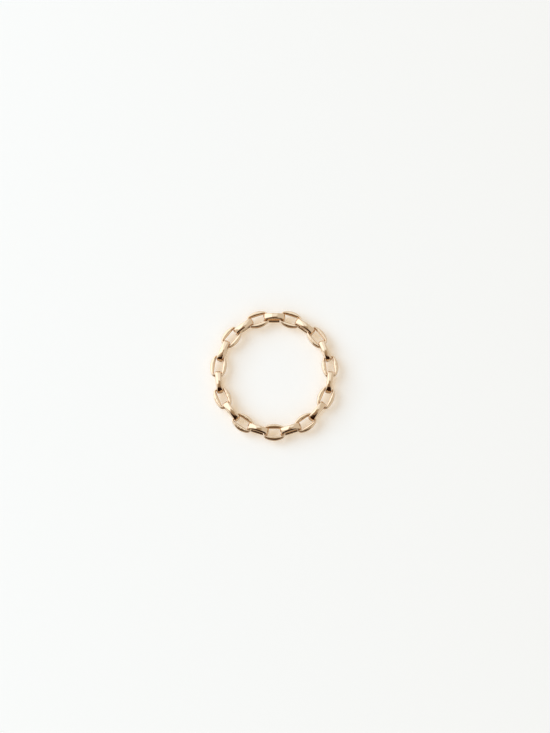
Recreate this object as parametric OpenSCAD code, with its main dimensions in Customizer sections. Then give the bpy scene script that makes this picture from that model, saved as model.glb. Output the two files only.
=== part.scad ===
// Chain link finger ring. Two kinds of place alternate round one closed loop: flat links lie in
// the ring's plane, and upright links stand on edge. All are the same gold link, an oval of
// domed wire with a straight-sided window, and each hooks through the next.
// The ring lies on its side, with z = 0 on the surface that it rests on and its middle at x = y = 0.

/* [Ring] */
// Inner diameter, between the bowed sides of the flat links
bore_d = 17.6; // [16:0.05:20]
// Number of flat links, with as many upright links between them
flat_links = 11; // [10:1:12]
// How much the heading of the links leads and lags to pull the loop oval, in degrees
oval_swing = 2.2; // [0:0.1:2.6]

/* [Wire] */
// Depth of the wire, across the flat of a link
wire_depth = 1.12; // [1.05:0.01:1.25]
// Thickness of a side bar at its middle
side_bar = 0.86; // [0.75:0.01:1]
// Thickness of an end bar at its middle
end_bar = 0.51; // [0.45:0.01:0.58]
// Radius of the domed outside of the wire
dome_r = 0.8; // [0.7:0.01:1]
// Radius of the rounded inside of an end bar
crown_r = 1.3; // [1:0.01:1.8]

/* [Link outline] */
// Radius of a link's bowed sides
side_bow_r = 3.2; // [2.6:0.05:4]
// Radius of a link's round ends
end_bow_r = 1.85; // [1.5:0.05:1.95]

/* [Clearance] */
// Gap beside an end bar in the window that it passes through
passing_gap = 0.08; // [0.065:0.005:0.12]
// Gap between two end bars that hook each other
hook_gap = 0.04; // [0.03:0.005:0.08]

/* [Hidden] */
$fn = 160;
gold = [0.87, 0.76, 0.58];

// Roll of each link about its own length, in degrees, from the flat link nearest -Y round to +X
leans = [1, -2, 2, 3, -1, 1, -2, -1, 2, 0, -2, 2, 1, -2, 0, 2, -1, -3, 1, 2, -1, 1];

link_count = 2 * flat_links;
turn = 360 / link_count;
sharpest_turn = turn + oval_swing * sin(2 * turn);

// A hooked end bar reaches past the corner between two links, so that both clear at the turn
hook_reach = (crown_r * (1 - cos(sharpest_turn)) + hook_gap) / (1 + cos(sharpest_turn));

window_w = wire_depth + 2 * passing_gap;
link_w = window_w + 2 * side_bar;

// Flat links stand out a little, so that the upright links' end bars lie centred in their windows
flat_shift = (hook_reach + end_bar / 2) * sin(turn);

loop_r = bore_d / 2 + link_w / 2 - flat_shift;
pitch = 2 * loop_r * tan(turn / 2);
window_len = pitch + 2 * hook_reach;
link_len = window_len + 2 * end_bar;

// Cutting tools run past the wire's faces by this much
over_cut = 0.2;

function flat_name(i) = str("flat_link_", i < 9 ? "0" : "", i + 1);
function upright_name(i) = str("upright_link_", i < 9 ? "0" : "", i + 1);

// Which way the length of link k points, in degrees from +X
function heading(k) = k * turn + oval_swing * sin(2 * k * turn);
function along(k) = [cos(heading(k)), sin(heading(k))];
function outward(k) = [sin(heading(k)), -cos(heading(k))];

// Sum of whole links from the first to just before link k, and half of link k
function run_to(k) = k == 0 ? along(0) * pitch / 2
                            : run_to(k - 1) + (along(k - 1) + along(k)) * pitch / 2;

// The loop looks the same after half a turn, so its middle is halfway to the opposite link
loop_middle = (run_to(0) + run_to(flat_links)) / 2;
function place(k) = run_to(k) - loop_middle;

function lean(k) = leans[k % len(leans)];

// A round tablet with a domed rim
module domed_disc(r) {
    rotate_extrude()
        intersection() {
            union() {
                translate([r - dome_r, 0]) circle(dome_r);
                translate([0, -dome_r]) square([r - dome_r, 2 * dome_r]);
            }
            translate([0, -dome_r]) square([r, 2 * dome_r]);
        }
}

// The link's outside: two bowed sides and two round ends, all with the domed rim
module link_body() {
    side_centre = side_bow_r - link_w / 2;
    end_centre = link_len / 2 - end_bow_r;
    intersection() {
        cube([2 * link_len, 2 * link_w, wire_depth], center = true);
        translate([0, -side_centre, 0]) domed_disc(side_bow_r);
        translate([0, side_centre, 0]) domed_disc(side_bow_r);
        union() {
            translate([-end_centre, 0, 0]) domed_disc(end_bow_r);
            translate([end_centre, 0, 0]) domed_disc(end_bow_r);
        }
    }
}

// The window's length section: straight through, with its ends pressed in by the round end bars
module window_section() {
    difference() {
        square([window_len + crown_r / 2, wire_depth + over_cut], center = true);
        for (side = [-1, 1])
            translate([side * (window_len / 2 + crown_r), 0]) circle(crown_r);
    }
}

// One link, lying flat with its length along X and its middle at the origin
module chain_link() {
    difference() {
        link_body();
        rotate([90, 0, 0]) linear_extrude(window_w, center = true) window_section();
    }
}

// Link number i of the flat ones, at its place in the loop
module flat_link(i) {
    k = 2 * i;
    spot = place(k) + outward(k) * flat_shift;
    color(gold)
        translate([spot[0], spot[1], link_w / 2])
            rotate([0, 0, heading(k)]) rotate([lean(k), 0, 0]) chain_link();
}

// Link number i of the upright ones, at its place in the loop
module upright_link(i) {
    k = 2 * i + 1;
    spot = place(k);
    color(gold)
        translate([spot[0], spot[1], link_w / 2])
            rotate([0, 0, heading(k)]) rotate([90 + lean(k), 0, 0]) chain_link();
}

for (i = [0 : flat_links - 1]) {
    flat_link(i);
    upright_link(i);
}
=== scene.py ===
# %% [markdown]
# # A chain link ring
#
# The ring is a closed loop of 22 gold links, flat and upright in turn, each hooked through the
# next. The packed model already holds every link as an exact solid at its real place and size.
# What it lacks is what polishing does to gold wire: rounded edges, a slightly uneven surface and
# a bright, warm finish. So every solid is read for its place, and a finer link goes there.

# %% Load the packed model
import math

import bpy
import numpy as np
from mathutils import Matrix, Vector


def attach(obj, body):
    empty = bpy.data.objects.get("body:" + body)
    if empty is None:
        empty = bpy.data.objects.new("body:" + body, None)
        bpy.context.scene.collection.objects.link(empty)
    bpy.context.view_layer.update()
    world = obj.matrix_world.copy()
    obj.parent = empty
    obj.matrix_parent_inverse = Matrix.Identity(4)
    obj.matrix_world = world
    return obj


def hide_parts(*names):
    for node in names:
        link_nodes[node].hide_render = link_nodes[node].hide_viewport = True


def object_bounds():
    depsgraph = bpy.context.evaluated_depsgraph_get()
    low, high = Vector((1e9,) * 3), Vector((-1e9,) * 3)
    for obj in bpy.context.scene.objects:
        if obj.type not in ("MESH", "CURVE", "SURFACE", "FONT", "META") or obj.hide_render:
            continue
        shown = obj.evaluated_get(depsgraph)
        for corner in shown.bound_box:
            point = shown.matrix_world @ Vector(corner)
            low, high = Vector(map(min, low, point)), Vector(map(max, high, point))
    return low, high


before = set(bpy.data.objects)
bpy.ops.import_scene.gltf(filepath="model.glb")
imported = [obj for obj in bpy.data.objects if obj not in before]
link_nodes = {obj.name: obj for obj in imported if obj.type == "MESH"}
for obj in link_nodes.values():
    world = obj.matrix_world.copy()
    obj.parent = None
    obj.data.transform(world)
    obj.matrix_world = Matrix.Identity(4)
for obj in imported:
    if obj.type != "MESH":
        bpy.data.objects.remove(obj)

cad_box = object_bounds()
print("links in the packed model:", len(link_nodes))

# %% [markdown]
# ## Where each link lies
#
# A link is longer than it is wide, and wider than it is deep, so its own mass tells how it lies.
# The first moment of a solid gives its middle, and the axes of its second moment are its length,
# width and depth. That needs no table of places, and still holds if the ring is made in another
# size. The solid is summed as tetrahedra between a point near its middle and its surface
# triangles.

# %% Read a solid's middle and axes
MM = 0.001
UP = np.array([0.0, 0.0, 1.0])


def solid_triangles(piece):
    """Corners of a mesh's triangles, in mm: one row a triangle, three corners, three coordinates."""
    mesh = piece.data
    mesh.calc_loop_triangles()
    places = np.empty(len(mesh.vertices) * 3)
    corners = np.empty(len(mesh.loop_triangles) * 3, dtype=np.int32)
    mesh.vertices.foreach_get("co", places)
    mesh.loop_triangles.foreach_get("vertices", corners)
    return places.reshape(-1, 3)[corners].reshape(-1, 3, 3) / MM


def solid_pose(piece):
    """Middle of a link and its axes as rows: along its length, across its width, through its depth.

    Places are taken from a rough middle. A tetrahedron from there to corners a, b, c has the
    volume a . (b x c) / 6, its middle at their sum / 4, and the second moment
    volume / 20 * (a a' + b b' + c c' + sum sum')."""
    corners = solid_triangles(piece)
    rough_middle = corners.mean(axis=(0, 1))
    corners = corners - rough_middle
    a, b, c = np.moveaxis(corners, 1, 0)
    volume = np.einsum("ij,ij->i", a, np.cross(b, c)) / 6
    total = corners.sum(axis=1)
    shift = (volume @ total) / 4 / volume.sum()
    second = np.einsum("i,ikj,ikl->jl", volume, corners, corners)
    second += np.einsum("i,ij,il->jl", volume, total, total)
    second = second / 20 - volume.sum() * np.outer(shift, shift)
    depth, width, length = np.linalg.eigh(second)[1].T
    middle = rough_middle + shift
    onward = np.cross(UP, middle * [1, 1, 0])
    outward = middle * [1, 1, 0] / np.linalg.norm(middle[:2])
    length = length * np.sign(length @ onward)
    width = width * np.sign(width @ (outward + UP))
    return middle, np.array([length, width, np.cross(length, width)])


poses = {name: solid_pose(piece) for name, piece in sorted(link_nodes.items())}
first_name, (first_middle, first_axes) = next(iter(poses.items()))
print(first_name, "has its middle at", first_middle.round(3), "mm")

# %% [markdown]
# ## The form of one link
#
# All 22 links are alike: an oval of gold with bowed sides and round ends, about a straight-sided
# window. Drawn flat, that is two outlines. The solids have the same outlines with plain edges,
# but polished wire is round, so here the metal between the outlines gets a rounded section:
# a point is as far across the bar as its distances from both outlines say, and as far up as its
# height says, and the two together must lie within a squarish circle.

# %% Sizes of a link, in mm
link_length, link_width, link_depth = (
    np.ptp(solid_triangles(link_nodes[first_name]).reshape(-1, 3) @ first_axes.T, axis=0)
)
side_bar = 0.86
end_bar = 0.51
side_bow_r = 3.2
end_bow_r = 1.85
corner_softness = 0.1
window_corner_r = 0.12
squareness = 2.6
window_length = link_length - 2 * end_bar
window_width = link_width - 2 * side_bar
print(f"link {link_length:.2f} x {link_width:.2f} x {link_depth:.2f} mm,",
      f"window {window_length:.2f} x {window_width:.2f} mm")

# %% The two outlines and the section between them


def soft_max(first, second, softness):
    """The larger of two distances, eased where they lie within the softness of each other.

    The larger one, plus softness / 4 times the square of 1 - |difference| / softness."""
    nearness = np.maximum(1 - np.abs(first - second) / softness, 0)
    return np.maximum(first, second) + softness / 4 * nearness**2


def outside_oval(x, y):
    """Distance outside the outline: the larger of those outside a bowed side and a round end."""
    side = np.hypot(x, np.abs(y) + side_bow_r - link_width / 2) - side_bow_r
    end = np.hypot(np.abs(x) - link_length / 2 + end_bow_r, y) - end_bow_r
    return soft_max(side, end, corner_softness)


def outside_window(x, y):
    """Distance outside a rectangle with round corners, less than nothing inside it."""
    past_x = np.abs(x) - window_length / 2 + window_corner_r
    past_y = np.abs(y) - window_width / 2 + window_corner_r
    past_corner = np.hypot(np.maximum(past_x, 0), np.maximum(past_y, 0))
    return past_corner + np.minimum(np.maximum(past_x, past_y), 0) - window_corner_r


def outside_metal(points):
    """Less than nothing inside a link that lies along x and y, with its middle at the origin.

    Across runs from -1 at the window to 1 at the oval, and up from -1 to 1 through the depth.
    The section is |across|^squareness + |up|^squareness = 1."""
    x, y, z = np.moveaxis(points, -1, 0)
    from_window, from_oval = outside_window(x, y), -outside_oval(x, y)
    across = (from_window - from_oval) / (from_window + from_oval)
    up = z / (link_depth / 2)
    return np.abs(across) ** squareness + np.abs(up) ** squareness - 1


print("outside the metal in the middle of the window:", outside_metal(np.zeros(3)) > 0)

# %% [markdown]
# ## From the form to a surface
#
# A form that only says inside or outside can't be rendered. The wire of a link is a closed bar,
# so the mesh follows it as wire does: sections stand square to a path round the window, and in
# each section rays go out from the middle of the bar to where the metal ends. The span is halved
# over and over for all rays at once. The quads then run along the wire and around it, which
# carries a polished highlight far better than a voxel grid would.

# %% The path round the window
path_steps = 224
path_corner_r = 0.75


def path_round_window():
    """Points on a rectangle with round corners, at equal steps, and the outward direction at each.

    Along a straight run the centre moves and the direction stays. In a corner the centre stays
    and the direction turns by a quarter. A point lies path_corner_r from its centre."""
    far = (window_length + end_bar) / 2 - path_corner_r
    wide = (window_width + side_bar) / 2 - path_corner_r
    quarter = path_corner_r * math.pi / 2
    runs = [0, wide, quarter, 2 * far, quarter, 2 * wide, quarter, 2 * far, quarter, wide]
    marks = np.cumsum(runs)
    way = np.arange(path_steps) / path_steps * marks[-1]
    centre_x = np.interp(way, marks, far * np.array([1, 1, 1, -1, -1, -1, -1, 1, 1, 1]))
    centre_y = np.interp(way, marks, wide * np.array([0, 1, 1, 1, 1, -1, -1, -1, -1, 0]))
    turned = np.radians(np.interp(way, marks, [0, 0, 90, 90, 180, 180, 270, 270, 360, 360]))
    outward = np.stack([np.cos(turned), np.sin(turned), 0 * turned], axis=-1)
    centres = np.stack([centre_x, centre_y, 0 * way], axis=-1)
    return centres + path_corner_r * outward, outward, marks[-1]


path, outward, path_length = path_round_window()
print(f"path {path_length:.2f} mm long in {path_steps} steps")

# %% The sections of the wire
section_steps = 64
halvings = 40
bar_limit = 1.2
section_limit = 1.6


def ray_length(starts, directions, limit):
    """How many directions long each ray is from inside the metal to its surface.

    The span from nothing to limit is halved, and the half that holds the surface is kept.
    The limit is bar_limit in mm from the path, or section_limit in halves of the section."""
    inside = np.zeros(np.broadcast_shapes(starts.shape, directions.shape)[:-1])
    outside = np.full(inside.shape, float(limit))
    for _ in range(halvings):
        middle = (inside + outside) / 2
        is_metal = outside_metal(starts + middle[..., None] * directions) < 0
        inside = np.where(is_metal, middle, inside)
        outside = np.where(is_metal, outside, middle)
    return (inside + outside) / 2


outer_reach = ray_length(path, outward, bar_limit)
inner_reach = ray_length(path, -outward, bar_limit)
half_bar = (outer_reach + inner_reach) / 2
bar_middle = path + outward * ((outer_reach - inner_reach) / 2)[:, None]
around = np.arange(section_steps) / section_steps * 2 * math.pi
rays = (
    np.cos(around)[None, :, None] * (outward * half_bar[:, None])[:, None, :]
    + np.sin(around)[None, :, None] * link_depth / 2 * UP
)
ray_reach = ray_length(bar_middle[:, None, :], rays, section_limit)
smooth_link = bar_middle[:, None, :] + ray_reach[..., None] * rays
print(f"bar {2 * half_bar.min():.2f} to {2 * half_bar.max():.2f} mm thick at mid height")

# %% [markdown]
# ## Hand polish
#
# Each link was soldered shut and polished on a wheel, so none is quite even. A few long,
# shallow waves with their own directions for every link tip the surface by a degree or two.
# Nobody sees the waves, but they bend the reflections, and that is what tells a real link from
# a drawn one. The waves only take metal off, so a link stays within its solid.

# %% Waves of the polishing wheel
wave_count = 5
wave_length = (0.4, 1.0)
wave_depth = 0.02
chance = np.random.default_rng(22)


def polish_waves(points):
    """A share from 0 to 1 of the wave depth at each point, different at every call.

    The mean of wave_count cosines of the place along random directions, eased to 0 to 1."""
    directions = chance.normal(size=(wave_count, 3))
    directions /= np.linalg.norm(directions, axis=1)[:, None]
    lengths = chance.uniform(*wave_length, size=wave_count)
    starts = chance.uniform(0, 2 * math.pi, size=wave_count)
    phases = 2 * math.pi * points @ (directions / lengths[:, None]).T + starts
    return 0.5 + 0.5 * np.cos(phases).mean(axis=-1)


def polished_link():
    """The smooth link, with each point drawn towards its section's middle by the waves."""
    ray_mm = np.linalg.norm(rays, axis=-1) * ray_reach
    pull = wave_depth * polish_waves(smooth_link) / ray_mm
    return smooth_link - pull[..., None] * ray_reach[..., None] * rays


print("deepest wave", wave_depth * 1000, "microns")

# %% How sheltered each point of a link is
neighbour_reach = 0.75
neighbour_x = (window_length - end_bar) / 2
open_from = 1.6


def shelter(points):
    """From 0 in the open to 1 where the next link's end bar lies close.

    Each neighbour's end bar crosses the window at neighbour_x from the middle. The distance from
    there, as a share of neighbour_reach, is taken from open_from and the rest kept from 0 to 1."""
    away = np.linalg.norm(np.abs(points) - [neighbour_x, 0, 0], axis=-1)
    return np.clip(open_from - away / neighbour_reach, 0, 1)


# the gold uses this for a duller polish and for painted shade between the links
hidden_share = shelter(smooth_link)
print(f"sheltered share of a link: {hidden_share.mean():.2f}")

# %% [markdown]
# ## Building the links
#
# The grid of points closes both ways, along the wire and around it, so every quad has four
# neighbours and there is no seam. The link's own map holds mm along and around the wire,
# which is where fine polishing lines will run.

# %% Quads of a grid that closes both ways


def closed_grid(rows, columns):
    """Corner numbers of the quads between each point, the next row and the next column."""
    row, column = np.meshgrid(np.arange(rows), np.arange(columns), indexing="ij")
    next_row, next_column = (row + 1) % rows, (column + 1) % columns
    corners = [
        row * columns + column,
        next_row * columns + column,
        next_row * columns + next_column,
        row * columns + next_column,
    ]
    return np.stack(corners, axis=-1).reshape(-1, 4)


quads = closed_grid(path_steps, section_steps)
print("quads in a link:", len(quads))

# %% The map along and around the wire
section_way = 2 * math.pi * math.hypot(float(half_bar.mean()), link_depth / 2) / math.sqrt(2)


def wire_map():
    """For each quad's corners, mm along the path and mm around the section.

    The last row and column go on to the full length instead of back to nothing."""
    row, column = np.meshgrid(np.arange(path_steps), np.arange(section_steps), indexing="ij")
    along = np.stack([row, row + 1, row + 1, row], axis=-1) / path_steps * path_length
    round_it = np.stack([column, column, column + 1, column + 1], axis=-1) / section_steps
    return np.stack([along, round_it * section_way], axis=-1).reshape(-1, 2)


link_map = wire_map()
print(f"around a section: about {section_way:.2f} mm")

# %% Make one link a mesh and put it in its place


def add_object(name, data):
    """A new object in the scene, for a mesh, a lamp or a camera."""
    thing = bpy.data.objects.new(name, data)
    bpy.context.scene.collection.objects.link(thing)
    return thing


def build_link(name, points):
    """A mesh object from a grid of points in metres, smooth, with its map and its shelter."""
    mesh = bpy.data.meshes.new(name)
    mesh.from_pydata(points.reshape(-1, 3), [], quads)
    mesh.shade_smooth()
    mesh.uv_layers.new(name="Wire").data.foreach_set("uv", link_map.ravel())
    hidden = mesh.attributes.new("shelter", "FLOAT", "POINT")
    hidden.data.foreach_set("value", hidden_share.ravel())
    return add_object(name, mesh)


links = []
for node_name, (middle, axes) in poses.items():
    link = build_link(f"polished_{node_name}", (middle + polished_link() @ axes) * MM)
    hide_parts(node_name)
    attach(link, "root")
    links.append(link)
print("built", len(links), "links,", 2 * len(quads) * len(links), "triangles")

# %% [markdown]
# ## Writing materials as expressions
#
# A node tree is a formula. Wrapping a socket in a small class lets the formula be written as
# one: each operator adds its Math node. All other nodes come from one method, which sets the
# node's settings first and then its sockets, because some settings change which sockets it has.

# %% A socket that can be calculated with


class Signal:
    """A node's output. Each operator on it adds one Math node."""

    def __init__(self, shader, socket):
        self.shader = shader
        self.socket = socket

    def maths(self, operation, *values):
        sockets = dict(enumerate(values))
        return self.shader.node("ShaderNodeMath", {"operation": operation}, sockets)

    def __add__(self, other):
        return self.maths("ADD", self, other)

    def __sub__(self, other):
        return self.maths("SUBTRACT", self, other)

    def __rsub__(self, other):
        return self.maths("SUBTRACT", other, self)

    def __mul__(self, other):
        return self.maths("MULTIPLY", self, other)

    __radd__ = __add__
    __rmul__ = __mul__


class Shader:
    """The nodes of one material or world."""

    def __init__(self, owner):
        owner.use_nodes = True
        self.tree = owner.node_tree
        self.tree.nodes.clear()

    def node(self, kind, settings, sockets, output=0):
        """Adds a node: its settings first, then the values or signals of its sockets."""
        made = self.tree.nodes.new(kind)
        for name, value in settings.items():
            setattr(made, name, value)
        for name, value in sockets.items():
            if isinstance(value, Signal):
                self.tree.links.new(value.socket, made.inputs[name])
            else:
                made.inputs[name].default_value = value
        return Signal(self, made.outputs[output] if made.outputs else None)

    def eased(self, value, start, end):
        """0 before start, 1 after end, and an S-shaped step between. Start may be above end."""
        sockets = {"Value": value, "From Min": start, "From Max": end}
        return self.node("ShaderNodeMapRange", {"interpolation_type": "SMOOTHSTEP"}, sockets)

    def mix_colours(self, share, first, second):
        """The first colour where share is 0 and the second where it is 1."""
        sockets = {0: share, 6: first, 7: second}
        return self.node("ShaderNodeMix", {"data_type": "RGBA"}, sockets, output=2)


print("operators:", [name for name in vars(Signal) if name.endswith("__")])

# %% [markdown]
# ## Gold
#
# The ring is pale 14 karat gold, a metal with almost no colour of its own beside what it
# mirrors. So the base colour is the tint of the reflection, and the roughness decides how
# sharp that is: polished on the open faces, duller between the links where no wheel reaches.
# There the base colour is also darkened towards brown as painted shade, in place of the shadow
# in the gaps where the links hook through each other.
# Fine lines along the wire and faint mottling keep it from looking like a mirror ball.

# %% Polished gold
gold_tint = (0.94, 0.71, 0.45, 1)
rosy_tint = (0.93, 0.67, 0.41, 1)
# painted shade: the dark brown the gaps between links are painted towards, and how much of it
painted_shade_tint = (0.16, 0.09, 0.04, 1)
slight_shade = 0.12
deep_shade = 0.5
deep_shade_start = 0.8
polished_roughness = 0.035
roughness_spread = 0.02
sheltered_roughness = 0.12
mottle_scale = 900
line_stretch = (0.5, 14, 1)
line_scale = 2
line_height = 0.0000012


def polished_gold():
    """Gold that is bright in the open, duller in the shelter of the next link, and darker there
    with painted shade.

    The mottling is noise over the place in metres. The lines are noise over the link's map in mm
    times line_stretch, so that each is long along the wire and thin across it. The painted shade
    is slight_shade of the shelter, and up to deep_shade more where that is past deep_shade_start;
    it mixes the colour towards a dark brown tint in place of the shadow between the links."""
    material = bpy.data.materials.new("polished_gold")
    shader = Shader(material)
    place = shader.node("ShaderNodeTexCoord", {}, {}, output="Object")
    wire = shader.node("ShaderNodeUVMap", {"uv_map": "Wire"}, {})
    hidden = shader.node("ShaderNodeAttribute", {"attribute_name": "shelter"}, {}, output="Fac")
    mottle = shader.node(
        "ShaderNodeTexNoise", {}, {"Vector": place, "Scale": mottle_scale, "Detail": 4}
    )
    stretched = shader.node(
        "ShaderNodeVectorMath", {"operation": "MULTIPLY"}, {0: wire, 1: line_stretch}
    )
    lines = shader.node(
        "ShaderNodeTexNoise", {}, {"Vector": stretched, "Scale": line_scale, "Detail": 3}
    )
    open_colour = shader.mix_colours(mottle, gold_tint, rosy_tint)
    # painted shade: darker where the next link lies close, in place of the shadow between the links
    shade = slight_shade * hidden + deep_shade * shader.eased(hidden, deep_shade_start, 1)
    colour = shader.mix_colours(shade, open_colour, painted_shade_tint)
    roughness = (
        polished_roughness
        + roughness_spread * (mottle + lines - 1)
        + sheltered_roughness * hidden
    )
    bump = shader.node("ShaderNodeBump", {}, {"Distance": line_height, "Height": lines})
    surface = shader.node(
        "ShaderNodeBsdfPrincipled",
        {},
        {"Base Color": colour, "Metallic": 1, "Roughness": roughness, "Normal": bump},
    )
    shader.node("ShaderNodeOutputMaterial", {}, {"Surface": surface})
    return material


gold = polished_gold()
for link in links:
    link.data.materials.append(gold)
print("gold on", len(links), "links")

# %% [markdown]
# ## The floor it lies on
#
# The ring rests on a plain pale floor. In the photo its shadows are light and warm, where plain
# white paint would give darker, greyer ones. Light that scatters inside the floor could do that,
# usually for a slower and noisier render. Here the floor glows faintly and warmly by itself: with
# the cooler light from above it adds up to white, and where the ring keeps that light off, the
# warm part stays.

# %% A pale floor
floor_radius = 2.0
floor_sides = 96
floor_colour = (0.93, 0.93, 0.93, 1)
floor_glow = (0.444, 0.3, 0.132, 1)
floor_roughness = 0.9
floor_shine = 0.1


def pale_floor():
    """A disc of floor_sides corners at z = 0, with one face."""
    turned = np.arange(floor_sides) / floor_sides * 2 * math.pi
    rim = np.stack([np.cos(turned), np.sin(turned), 0 * turned], axis=-1) * floor_radius
    mesh = bpy.data.meshes.new("floor")
    mesh.from_pydata(rim, [], [range(floor_sides)])
    material = bpy.data.materials.new("pale_floor")
    shader = Shader(material)
    sockets = {
        "Base Color": floor_colour,
        "Roughness": floor_roughness,
        "Specular IOR Level": floor_shine,
        "Emission Color": floor_glow,
        "Emission Strength": 1,
    }
    surface = shader.node("ShaderNodeBsdfPrincipled", {}, sockets)
    shader.node("ShaderNodeOutputMaterial", {}, {"Surface": surface})
    material.cycles.emission_sampling = "NONE"
    mesh.materials.append(material)
    piece = add_object("floor", mesh)
    piece.visible_glossy = False
    return piece


floor = pale_floor()
print("floor", 2 * floor_radius, "m across")

# %% [markdown]
# ## Light
#
# Polished metal shows only its surroundings, so jewellers photograph it in a tent: a white
# cloth all round, bright where the window is and dark where the viewer stands. The gold here
# sees such a tent, and the floor is lit by a pale room, a large soft lamp at the window's side
# and a weaker one in the south. Keeping the two apart lets the metal have deep brown bands while
# its shadow stays light. The tent is a whole ball, whose lower half is the ground as the gold
# sees it: pale far off, and duller close by where the ring keeps light away. It is only about ten
# rings across, so the near side of the loop sees more of the viewer than the far side does.

# %% Directions, and how a lamp or a camera stands


def towards(compass, elevation):
    """The unit vector at an angle from +Y towards +X, and up."""
    turned, raised = math.radians(compass), math.radians(elevation)
    level = math.cos(raised)
    return level * math.sin(turned), level * math.cos(turned), math.sin(raised)


def stand(thing, place, back):
    """Puts a lamp or camera at a place in metres, looking away from the direction of its back."""
    thing.location = place
    thing.rotation_mode = "QUATERNION"
    thing.rotation_quaternion = Vector(back).to_track_quat("Z", "Y")


print("a lamp in the west stands towards", np.round(towards(270, 0), 3))

# %% Two soft lamps, which the gold doesn't see
cool_white = (0.63, 0.825, 1.02)
lamp_distance = 1.0
lamp_side = 0.8


def soft_lamp(name, compass, elevation, brightness):
    """A square lamp that faces the ring. Its face has the brightness: power / (pi x area)."""
    lamp = bpy.data.lights.new(name, "AREA")
    lamp.size = lamp_side
    lamp.energy = brightness * lamp_side**2 * math.pi
    lamp.color = cool_white
    thing = add_object(name, lamp)
    back = towards(compass, elevation)
    stand(thing, Vector(back) * lamp_distance, back)
    thing.visible_camera = False
    thing.visible_glossy = False
    return thing


lamps = [
    soft_lamp("key_lamp", compass=288, elevation=42, brightness=3.3),
    soft_lamp("south_lamp", compass=185, elevation=45, brightness=0.9),
]
for lamp in lamps:
    print(lamp.name, round(lamp.data.energy, 2), "W")

# %% The pale room, which the gold doesn't see
room_brightness = 0.365


def pale_room():
    """A world of one colour and brightness, left out of all reflections."""
    world = bpy.data.worlds.new("room")
    shader = Shader(world)
    sockets = {"Color": (*cool_white, 1), "Strength": room_brightness}
    glow = shader.node("ShaderNodeBackground", {}, sockets)
    shader.node("ShaderNodeOutputWorld", {}, {"Surface": glow})
    world.cycles_visibility.glossy = False
    return world


bpy.context.scene.world = pale_room()
bpy.context.scene.view_settings.view_transform = "Standard"
print("room brightness", room_brightness)

# %% What the tent's cloth looks like
wall_colour = (0.67, 0.68, 0.72, 1)
roof_colour = (0.44, 0.39, 0.33, 1)
north_colour = (0.96, 1.08, 1.3, 1)
window_colour = (1.4, 1.52, 1.85, 1)
viewer_shade = (0.34, 0.26, 0.2, 1)
viewer_dark = (0.02, 0.008, 0.004, 1)
viewer_west = 0.08
viewer_slope = 1.1
viewer_edge = 0.12
ground_colour = (0.79, 0.81, 0.92, 1)
ground_window_colour = (1.06, 1.17, 1.4, 1)
ground_viewer_colour = (0.62, 0.56, 0.5, 1)
ground_shade = (0.64, 0.62, 0.6, 1)
ground_shadow = (0.42, 0.33, 0.26, 1)


def tent_cloth():
    """The glow by direction: cool to the north, a window in the west, the viewer in the south.

    The direction is the place on the tent, made one long. A mask is a product of eased steps of
    its parts east, north and up. From the first pair to the last, each colour covers the ones
    before it where its mask is 1. The viewer's mask is a wedge that widens to the south from a
    tip viewer_west of overhead, with a soft edge. Below the horizon comes the ground, duller
    close to the ring, and the viewer's dark body goes on a little way down."""
    material = bpy.data.materials.new("tent")
    shader = Shader(material)
    place = shader.node("ShaderNodeTexCoord", {}, {}, output="Object")
    way = shader.node("ShaderNodeVectorMath", {"operation": "NORMALIZE"}, {0: place})
    parts = [shader.node("ShaderNodeSeparateXYZ", {}, {"Vector": way}, output=i) for i in range(3)]
    east, north, up = parts
    from_viewer = east + viewer_west
    aside = from_viewer.maths("ABSOLUTE", from_viewer)
    eased = shader.eased
    viewer = eased(aside + viewer_slope * north, viewer_edge, -viewer_edge)
    body = eased(north, -0.4, -0.54) * eased(aside, 0.8, 0.6)
    near_ring = eased(up, -0.35, -0.65)
    cloth = [
        (eased(up, 0.88, 0.96), roof_colour),
        (eased(north, 0.1, 0.28) * eased(up, 0.15, 0.5) * eased(east, 0.42, 0.15), north_colour),
        (eased(east, -0.12, -0.27) * eased(north, -0.16, -0.04), window_colour),
        (viewer, viewer_shade),
        (body, viewer_dark),
    ]
    ground = [
        (eased(east, -0.3, -0.8), ground_window_colour),
        (viewer, ground_viewer_colour),
        (near_ring * eased(east, -0.6, -0.1), ground_shade),
        (near_ring * eased(north, 0.0, -0.12) * eased(aside, 0.5, 0.2), ground_shadow),
        (eased(up, -0.4, -0.2) * body, viewer_dark),
    ]
    above, below = wall_colour, ground_colour
    for mask, colour in cloth:
        above = shader.mix_colours(mask, above, colour)
    for mask, colour in ground:
        below = shader.mix_colours(mask, below, colour)
    colour = shader.mix_colours(eased(up, 0.06, -0.02), above, below)
    surface = shader.node("ShaderNodeEmission", {}, {"Color": colour})
    shader.node("ShaderNodeOutputMaterial", {}, {"Surface": surface})
    material.cycles.emission_sampling = "NONE"
    return material


cloth_material = tent_cloth()
print("the tent's cloth takes", len(cloth_material.node_tree.nodes), "nodes")

# %% The tent, which only the gold sees
tent_radius = 0.12
tent_rows = 48
tent_columns = 96


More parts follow.
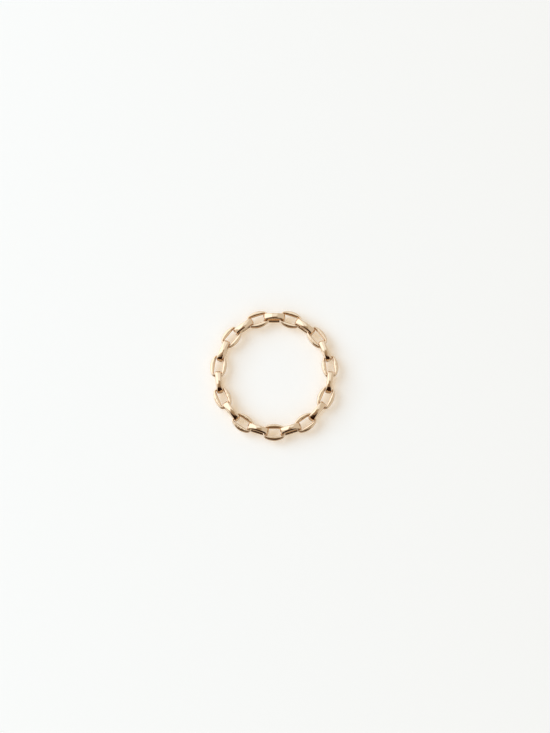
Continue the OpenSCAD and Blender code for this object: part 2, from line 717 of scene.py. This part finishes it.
def light_tent():
    """A ball round the ring: rows of points at equal steps up, closed at the bottom and the top."""
    raised = (np.arange(1, tent_rows) / tent_rows - 0.5) * math.pi
    turned = np.arange(tent_columns) / tent_columns * 2 * math.pi
    raised, turned = np.meshgrid(raised, turned, indexing="ij")
    level = np.cos(raised)
    wall = np.stack([level * np.sin(turned), level * np.cos(turned), np.sin(raised)], axis=-1)
    points = np.concatenate([wall.reshape(-1, 3), [[0, 0, -1], [0, 0, 1]]]) * tent_radius
    row, column = np.meshgrid(np.arange(tent_rows - 2), np.arange(tent_columns), indexing="ij")
    after = (column + 1) % tent_columns
    corners = [row * tent_columns + column, row * tent_columns + after]
    corners += [corner + tent_columns for corner in reversed(corners)]
    walls = np.stack(corners, axis=-1).reshape(-1, 4).tolist()
    last = (tent_rows - 2) * tent_columns
    step = [(i, (i + 1) % tent_columns) for i in range(tent_columns)]
    bottom = [[b, a, len(points) - 2] for a, b in step]
    top = [[last + a, last + b, len(points) - 1] for a, b in step]
    mesh = bpy.data.meshes.new("tent")
    mesh.from_pydata(points, [], walls + bottom + top)
    mesh.materials.append(cloth_material)
    tent = add_object("tent", mesh)
    tent.visible_camera = False
    tent.visible_diffuse = False
    tent.visible_shadow = False
    return tent


tent = light_tent()
print("tent", 2 * tent_radius, "m across")

# %% [markdown]
# ## Camera
#
# The photo was taken from nearly overhead. Its tilt shows in how the near sides of the links
# come into view. The camera stands at that angle, far enough off for a flat look, and it
# is aimed beside the ring so that the ring falls where it does in the picture.

# %% The photo's frame and the camera
photo_size = (550, 733)
ring_middle_px = (274.2, 374.4)
mm_a_pixel = 0.1785
camera_elevation = 76
camera_distance = 300
camera_clip = (0.01, 10)
sensor_mm = 36
ring_middle = np.array([0, 0, cad_box[1][2] / MM / 2])
aside, below = (np.array(ring_middle_px) - np.array(photo_size) / 2) * mm_a_pixel
aim = ring_middle + [-aside, below / math.sin(math.radians(camera_elevation)), 0]
camera_data = bpy.data.cameras.new("camera")
camera_data.sensor_width = sensor_mm
camera_data.lens = sensor_mm * camera_distance / (mm_a_pixel * max(photo_size))
camera_data.clip_start, camera_data.clip_end = camera_clip
back = np.array(towards(180, camera_elevation))
camera = add_object("camera", camera_data)
stand(camera, (aim + back * camera_distance) * MM, back)
bpy.context.scene.camera = camera
print("lens", round(camera_data.lens, 1), "mm")

# %% [markdown]
# ## Size
#
# The finished links have to fill the same box as the solids they replace.
